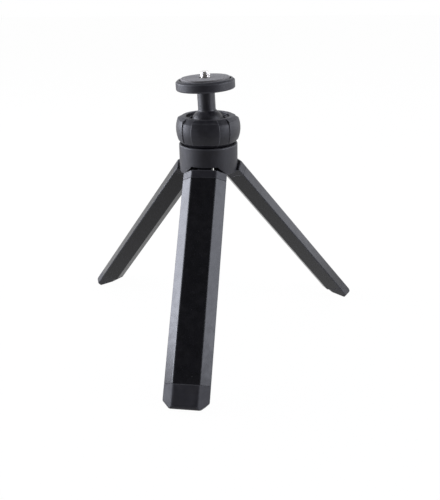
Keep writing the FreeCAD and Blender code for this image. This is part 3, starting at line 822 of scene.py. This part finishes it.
# degrees from the middle of a groove: first column, end of the columns, step
knob_columns = [(0, 8.6, 1.2), (8.6, 12.2, 0.24), (12.2, lobe_half_angle, 1.3)]
knob_profile = [
    # radius, height above the collar's roof, rounding
    (15.0, knob_base, 0.3),
    (15.0, knob_skirt, 0.4),
    (18.25, belly_start, 1.0),
    (20.45, 10.9, 17.2),
    (18.25, belly_end, 1.4),
    (bevel_radius, bevel_rise, 0.8),
    (13.0, bevel_rise, 0.5),
    (13.0, knob_lip_top, 0.3),
    (11.2, knob_lip_top, 0.3),
    (11.2, knob_lip_base, 0.2),
    (knob_bore, knob_lip_base, 0.3),
    (knob_bore, knob_base, 0.3),
]


def smooth_step(values):
    """Rise from 0 to 1 without a corner at either end: 3 v^2 - 2 v^3."""
    share = np.clip(values, 0, 1)
    return share * share * (3 - 2 * share)


def make_knob():
    """Barrel profile turned about the axis, its outside lowered in the grooves and flattened between them.

    With s from 0 in the middle of a lobe to 1 at its edge, the lobe's radius changes by
    flatness * (s^2 - level). The floor's radius is the barrel's arc at that height less the groove's
    depth, and a straight bevel limits it near the top. A wall rises over its angle with a smooth step,
    and a groove grows a little wider towards its ends.
    """
    corners = np.array(knob_profile)
    profile = filled(rounded(corners[:, :2] + (0, roof_top), corners[:, 2], steps=6), knob_step)
    offsets = np.concatenate([np.arange(*columns) for columns in knob_columns])
    offsets = np.concatenate([-offsets[:0:-1], offsets])
    turns = np.radians(np.arange(groove_count) * 2 * lobe_half_angle)[:, None]
    points = turned(profile, (turns + groove_middle + np.radians(offsets)).ravel())
    from_groove = np.abs(np.tile(offsets, groove_count))
    radii, rise = profile[:, :1], profile[:, 1:] - roof_top
    middle = (belly_start + belly_end) / 2
    bulge = np.sqrt(belly_curve ** 2 - (np.clip(rise, belly_start, belly_end) - middle) ** 2)
    floor = belly_radius - belly_curve + bulge - groove_depth
    floor = soft_limit(floor, bevel_radius + bevel_slope * (bevel_rise - rise), bevel_softness)
    half_angle = groove_half_angle + groove_end_widening * np.abs((rise - middle) / (belly_end - middle)) ** 2
    opened = smooth_step((half_angle - from_groove) / wall_angle + 0.5)
    from_lobe = (lobe_half_angle - from_groove) / (lobe_half_angle - groove_half_angle)
    raised = lobe_flatness * (np.clip(from_lobe, 0, 1) ** 2 - lobe_level)
    lobes = radii + raised * smooth_step((radii - bevel_radius) / lobe_fade_width)
    lowered = lobes + (soft_limit(radii, floor, floor_softness) - lobes) * opened
    outside = (radii > barrel_inner_limit) & (rise > knob_skirt)
    points[..., :2] *= (np.where(outside, lowered, radii) / radii)[..., None]
    return grid(points, over=True)


make_piece("knob", [make_knob()], Matrix.Identity(4), "knob", "black_satin_plastic", "lock_knob")

# %% [markdown]
# ## Ball and stem
# Ball and stem are turned from one bar. The profile is an arc of the ball, a hollow fillet that meets ball
# and stem without an edge, and the stem. The fillet's centre lies one ball radius and one fillet radius from
# the ball's centre, which fixes its height.

# %% Ball and stem
ball_radius = 10.4
stem_radius = 5.3
stem_fillet = 1.0
stem_height = 20.4
shank_bore = 2.55
shank_bottom = stem_height - 7.05
ball_start = math.radians(-89)
head_columns = 144


def arc(centre, radius, start, end, count):
    """Points at even angles on a circle: centre + radius (cos a, sin a)."""
    angles = np.linspace(start, end, count)
    return np.array(centre) + radius * np.column_stack([np.cos(angles), np.sin(angles)])


def make_ball_stem():
    """Profile of ball, fillet, stem and bore, from the ball's lowest point to the floor of the bore."""
    axis = stem_radius + stem_fillet
    height = math.sqrt((ball_radius + stem_fillet) ** 2 - axis ** 2)
    meeting = math.atan2(height, axis)
    ball = arc((0, 0), ball_radius, ball_start, meeting, 72)
    fillet = arc((axis, height), stem_fillet, math.pi + meeting, math.pi, 12)
    stem = rounded([(stem_radius, height), (stem_radius, stem_height), (shank_bore, stem_height),
                    (shank_bore, shank_bottom), (0.4, shank_bottom)], [0, 0.3, 0.25, 0.2, 0], closed=False)
    return grid(turned(np.vstack([ball, fillet[1:], stem[1:]]), head_columns), capped=True)


make_piece("ball_and_stem", [make_ball_stem()], head_matrix, "head_stem", "black_satin_metal", "ball_stem")

# %% [markdown]
# ## Disc, pad and camera screw
# The disc is a turned plate with a sloping rim, a groove inside the rim and the pad set in it. The camera
# screw has the quarter inch thread that every camera takes: twenty turns to the inch, so each turn climbs
# 1.27 mm. A thread is a radius that depends on height less the share of a turn: where that difference
# repeats, the radius repeats, and the crests wind upwards by themselves.

# %% Disc and pad
disc_base = stem_height + 0.9
disc_radius = 17.5
disc_side_top = disc_base + 4.7
disc_rim_top = disc_side_top + 1.1
pad_base = disc_base + 4.3
pad_top = pad_base + 2.5
pad_radius = 14.5
pad_groove = 0.7
flange_radius = 5.5
flange_base = pad_base - 1.6
flange_bore = flange_radius + 0.05
stud_bore = 3.325
disc_columns = 180

disc = rounded([
    (shank_bore, disc_base), (disc_radius, disc_base), (disc_radius, disc_side_top),
    (disc_radius - 1.2, disc_rim_top), (pad_radius + pad_groove, disc_rim_top),
    (pad_radius + pad_groove, pad_base), (flange_bore, pad_base), (flange_bore, flange_base),
    (shank_bore, flange_base),
], [0.2, 0.9, 0.6, 0.25, 0.2, 0.1, 0.15, 0.1, 0.2])
make_piece("disc", [grid(turned(filled(disc, 1.5), disc_columns), over=True)], head_matrix, "platform",
           "black_satin_plastic", "platform_disc")

pad = rounded(rectangle(stud_bore, pad_radius, pad_base, pad_top), [0.1, 0.1, 0.45, 0.2])
make_piece("grip_pad", [grid(turned(filled(pad, 1.0), disc_columns), over=True)], head_matrix, "platform",
           "grey_rubber", "platform_pad")

# %% Camera screw
thread_radius = 3.175
thread_pitch = 25.4 / 20
thread_depth = 0.68
stud_top = pad_top + 3.35
stud_tip = 0.6
tip_softness = 0.12
relief_radius = 2.6
shank_radius = 2.5
shank_base = stem_height - 7.0
thread_lead = 0.45
run_out = 0.4
crest_flat = 0.12
flank_share = 0.7
thread_step = 0.055
screw_columns = 96


def make_camera_screw():
    """Shank, flange and relief are turned; above them the radius follows the thread.

    The thread's phase is height / pitch - angle / full turn. Its distance from the nearest crest, eased
    by flats on crest and root, times the depth is taken from the outer radius, and the tip's cone limits it.
    """
    shaft = rounded([
        (0.4, shank_base), (shank_radius, shank_base), (shank_radius, flange_base),
        (flange_radius, flange_base), (flange_radius, pad_base), (relief_radius, pad_base),
        (relief_radius, pad_top - 0.5),
    ], [0, 0.4, 0.1, 0.2, 0.2, 0.1, 0], closed=False)
    heights = np.arange(pad_top - thread_lead, stud_top - 0.02, thread_step)
    ring = turned(np.column_stack([np.ones_like(heights), heights]), screw_columns)
    height = ring[..., 2]
    phase = (height - pad_top) / thread_pitch - np.arange(screw_columns) / screw_columns
    from_crest = np.abs((phase + 0.5) % 1 - 0.5) * 2
    fall = np.clip((from_crest - crest_flat) / flank_share, 0, 1)
    radii = thread_radius - thread_depth * fall
    radii = soft_limit(radii, thread_radius - stud_tip + (stud_top - height), tip_softness)
    begun = np.clip((height - pad_top + thread_lead) / run_out, 0, 1)
    ring[..., :2] *= (relief_radius + (radii - relief_radius) * begun)[..., None]
    top = turned(np.array([(2.3, stud_top), (1.0, stud_top)]), screw_columns)
    return grid(np.concatenate([turned(shaft, screw_columns), ring, top]), capped=True)


make_piece("camera_screw", [make_camera_screw()], head_matrix, "platform", "bright_steel", "camera_stud")

# %% [markdown]
# ## Effects that finishes share
# A moulded or anodised surface is never one colour. Four effects turn up on most pieces, so each is built
# once as a node group: the fine grain of a mould, wear on outer edges, dust in hollows and on top, and the
# long fine lines of an extrusion. Places are in millimetres, so a size of 0.2 means lumps of 0.2 mm.

# %% Shared effects
patches_per_grain = 40.0
worn_bend = (0.85, 1.5)
lump_size = 1.4
lump_bend = 0.9
hollow_bend = (-0.05, -0.6)
lying_slope = (0.5, 1.0)
lying_share = 0.6
film_size = 5.0
film_range = (0.35, 0.75)
speck_spacing = 3.2
speck_chosen = (0.55, 1.0)
speck_size = 0.045
line_stretch = (1.0, 1.0, 0.025)


def new_effect(name, takes, gives):
    """Empty node group: its tree and two ends. Place is a vector, all other sockets are numbers."""
    tree = bpy.data.node_groups.new(name, "ShaderNodeTree")
    for direction, sockets in (("INPUT", takes), ("OUTPUT", gives)):
        for socket in sockets.split():
            kind = "NodeSocketVector" if socket == "Place" else "NodeSocketFloat"
            tree.interface.new_socket(socket, in_out=direction, socket_type=kind)
    return tree, tree.nodes.new("NodeGroupInput").outputs, tree.nodes.new("NodeGroupOutput").inputs


def make_grain():
    """Mould grain: fine lumps for the height, and slow patches where the grain is smoother or rougher."""
    tree, given, result = new_effect("mould_grain", "Place Size", "Height Patches")
    tree.links.new(noise(tree, given["Place"], given["Size"], 3.0), result["Height"])
    wide = product(tree, given["Size"], patches_per_grain)
    tree.links.new(noise(tree, given["Place"], wide, 2.0), result["Patches"])
    return tree


def make_edge_wear():
    """Wear where the surface bends outwards sharply, broken up by noise."""
    tree, given, result = new_effect("edge_wear", "Place Bend Amount", "Mask")
    lumps = product(tree, noise(tree, given["Place"], lump_size, 4.0), lump_bend)
    worn = eased(tree, calculate(tree, "ADD", given["Bend"], lumps), *worn_bend)
    tree.links.new(product(tree, worn, given["Amount"]), result["Mask"])
    return tree


def make_dust():
    """Dust: a thin film on what faces up and in hollows, and separate specks of a tenth of a millimetre."""
    tree, given, result = new_effect("dust", "Place Up Bend Amount", "Film Specks")
    hollow = eased(tree, given["Bend"], *hollow_bend)
    lying = eased(tree, given["Up"], *lying_slope, 0.0, lying_share)
    patchy = eased(tree, noise(tree, given["Place"], film_size, 4.0), *film_range)
    film = product(tree, calculate(tree, "MAXIMUM", hollow, lying), patchy)
    tree.links.new(product(tree, film, given["Amount"]), result["Film"])
    cells = add(tree, "TexVoronoi", {"Vector": given["Place"], "Scale": 1 / speck_spacing})
    chosen = eased(tree, add(tree, "SeparateColor", {0: cells.outputs["Color"]}).outputs[0], *speck_chosen)
    size = product(tree, chosen, speck_size)
    near = calculate(tree, "LESS_THAN", cells.outputs["Distance"], size)
    tree.links.new(product(tree, near, given["Amount"]), result["Specks"])
    return tree


def make_drawn_lines():
    """Fine lines along Z, as an extrusion die leaves them: noise stretched forty times along Z."""
    tree, given, result = new_effect("drawn_lines", "Place Size", "Height")
    stretched = add(tree, "VectorMath", {0: given["Place"], 1: line_stretch}, operation="MULTIPLY")
    tree.links.new(noise(tree, stretched.outputs[0], given["Size"], 3.0), result["Height"])
    return tree


grain_effect = make_grain()
wear_effect = make_edge_wear()
dust_effect = make_dust()
lines_effect = make_drawn_lines()
print("effects:", [group.name for group in bpy.data.node_groups])

# %% [markdown]
# ## Finishes
# Every finish starts from the same recipe: a base colour that shifts a little in patches, worn edges, a
# film of dust and a few specks on top, a roughness that follows the same patches, and a height for the
# light to catch. Only the numbers differ. The gloss itself stays on the Principled shader's own sockets. The
# knuckles are of the collar's plastic but look duller, so they get a finish of their own.

# %% Recipe of a finish
dust_colour = (0.30, 0.29, 0.28, 1.0)
patch_range = (0.3, 0.7)
film_strength = 0.35
dust_roughness = 0.3


def use(tree, effect, inputs):
    """Place a node group and fill its inputs."""
    return add(tree, "Group", inputs, node_tree=effect).outputs


def make_finish(name, colour, shade, worn, roughness, grain, height, wear=0.5, dust=0.4, lines=False,
                own=True, **shader):
    """Material from one recipe.

    colour and shade are the two ends of the patches, worn is the colour of worn edges, roughness is
    a pair for smooth and rough patches, grain and height are in millimetres.
    """
    material = bpy.data.materials.new(name)
    material.use_nodes = True
    tree = material.node_tree
    coordinates = add(tree, "TexCoord")
    if own:
        place = add(tree, "Attribute", attribute_name="own_place").outputs["Vector"]
    else:
        place = add(tree, "VectorMath", {0: coordinates.outputs["Object"], "Scale": 1 / mm},
                    operation="SCALE").outputs[0]
    bend = add(tree, "Attribute", attribute_name="bend").outputs["Fac"]
    up = add(tree, "SeparateXYZ", {0: coordinates.outputs["Normal"]}).outputs["Z"]
    texture = use(tree, grain_effect, {"Place": place, "Size": grain})
    patches = eased(tree, texture["Patches"], *patch_range)
    worn_mask = use(tree, wear_effect, {"Place": place, "Bend": bend, "Amount": wear})["Mask"]
    film, specks = use(tree, dust_effect, {"Place": place, "Up": up, "Bend": bend, "Amount": dust})
    body = mixed_colour(tree, patches, colour + (1.0,), shade + (1.0,))
    body = mixed_colour(tree, worn_mask, body, worn + (1.0,))
    dusty = calculate(tree, "ADD", product(tree, film, film_strength), specks)
    dusty = calculate(tree, "MINIMUM", dusty, 1.0)
    body = mixed_colour(tree, dusty, body, dust_colour)
    rough = eased(tree, texture["Patches"], *patch_range, *roughness)
    rough = calculate(tree, "ADD", rough, product(tree, dusty, dust_roughness))
    relief = texture["Height"]
    if lines:
        relief = use(tree, lines_effect, {"Place": place, "Size": grain})["Height"]
    bump = add(tree, "Bump", {"Height": relief, "Strength": 1.0, "Distance": height * mm})
    principled = tree.nodes["Principled BSDF"]
    tree.links.new(body, principled.inputs["Base Color"])
    tree.links.new(rough, principled.inputs["Roughness"])
    tree.links.new(bump.outputs[0], principled.inputs["Normal"])
    for socket, setting in shader.items():
        principled.inputs[socket.replace("_", " ")].default_value = setting
    return material

# %% The finishes
matte_black = (0.0110, 0.0105, 0.0130), (0.0150, 0.0145, 0.0180), (0.05, 0.05, 0.055)
finishes = {
    "black_satin_plastic": make_finish(
        "satin_black_moulding", (0.0068, 0.0064, 0.0090), (0.0098, 0.0093, 0.0128), (0.05, 0.05, 0.055),
        (0.46, 0.54), grain=0.16, height=0.006, IOR=1.38),
    "black_matte_plastic": make_finish(
        "matte_black_moulding", *matte_black, (0.44, 0.56), grain=0.2, height=0.012, dust=0.5, IOR=1.30),
    "black_anodised_aluminium": make_finish(
        "black_anodised_extrusion", (0.0035, 0.0034, 0.0045), (0.0048, 0.0046, 0.0060), (0.10, 0.10, 0.11),
        (0.20, 0.27), grain=0.10, height=0.0012, wear=0.25, dust=0.3, lines=True, IOR=1.27),
    "black_satin_metal": make_finish(
        "satin_black_coating", (0.0080, 0.0075, 0.0100), (0.0110, 0.0105, 0.0135), (0.06, 0.06, 0.065),
        (0.38, 0.46), grain=0.12, height=0.003, IOR=1.40),
    "grey_rubber": make_finish(
        "grip_rubber", (0.085, 0.081, 0.081), (0.120, 0.114, 0.113), (0.16, 0.15, 0.15),
        (0.62, 0.78), grain=0.35, height=0.05, dust=0.8, IOR=1.5),
    "bright_steel": make_finish(
        "bright_machined_steel", (0.62, 0.60, 0.58), (0.72, 0.70, 0.67), (0.80, 0.78, 0.75),
        (0.18, 0.30), grain=0.08, height=0.002, dust=0.1, Metallic=1.0),
    "pale_nylon": make_finish(
        "pale_nylon", (0.66, 0.65, 0.60), (0.74, 0.73, 0.69), (0.80, 0.79, 0.76),
        (0.38, 0.48), grain=0.3, height=0.004, own=False, Subsurface_Weight=0.05),
    "dark_nylon": make_finish(
        "dark_nylon", (0.026, 0.026, 0.029), (0.034, 0.034, 0.037), (0.06, 0.06, 0.065),
        (0.42, 0.52), grain=0.25, height=0.006, own=False, IOR=1.53),
}
knuckle_plastic = make_finish(
    "glass_filled_moulding", *matte_black, (0.36, 0.46), grain=0.14, height=0.008, IOR=1.29)
machined_nodes = make_finish(
    "turned_steel_parts", (0.55, 0.54, 0.52), (0.66, 0.64, 0.62), (0.75, 0.73, 0.70),
    (0.25, 0.38), grain=0.12, height=0.003, dust=0.1, own=False, Metallic=1.0)
moulded_nodes = make_finish(
    "plain_black_moulding", (0.022, 0.022, 0.027), (0.028, 0.028, 0.034), (0.06, 0.06, 0.065),
    (0.42, 0.52), grain=0.2, height=0.008, own=False, IOR=1.52)

# %% Give every piece its finish
node_slots = {part["node"]: part["material_slot"] for part in frame["record"]["subparts"]}
node_finishes = finishes | {"bright_steel": machined_nodes, "black_satin_plastic": moulded_nodes}
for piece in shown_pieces():
    if piece.name.startswith("knuckle_"):
        piece.data.materials.append(knuckle_plastic)
    elif piece.name in made:
        piece.data.materials.append(finishes[piece["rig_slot"]])
    else:
        piece.data.materials.clear()
        piece.data.materials.append(node_finishes[node_slots[piece.name]])
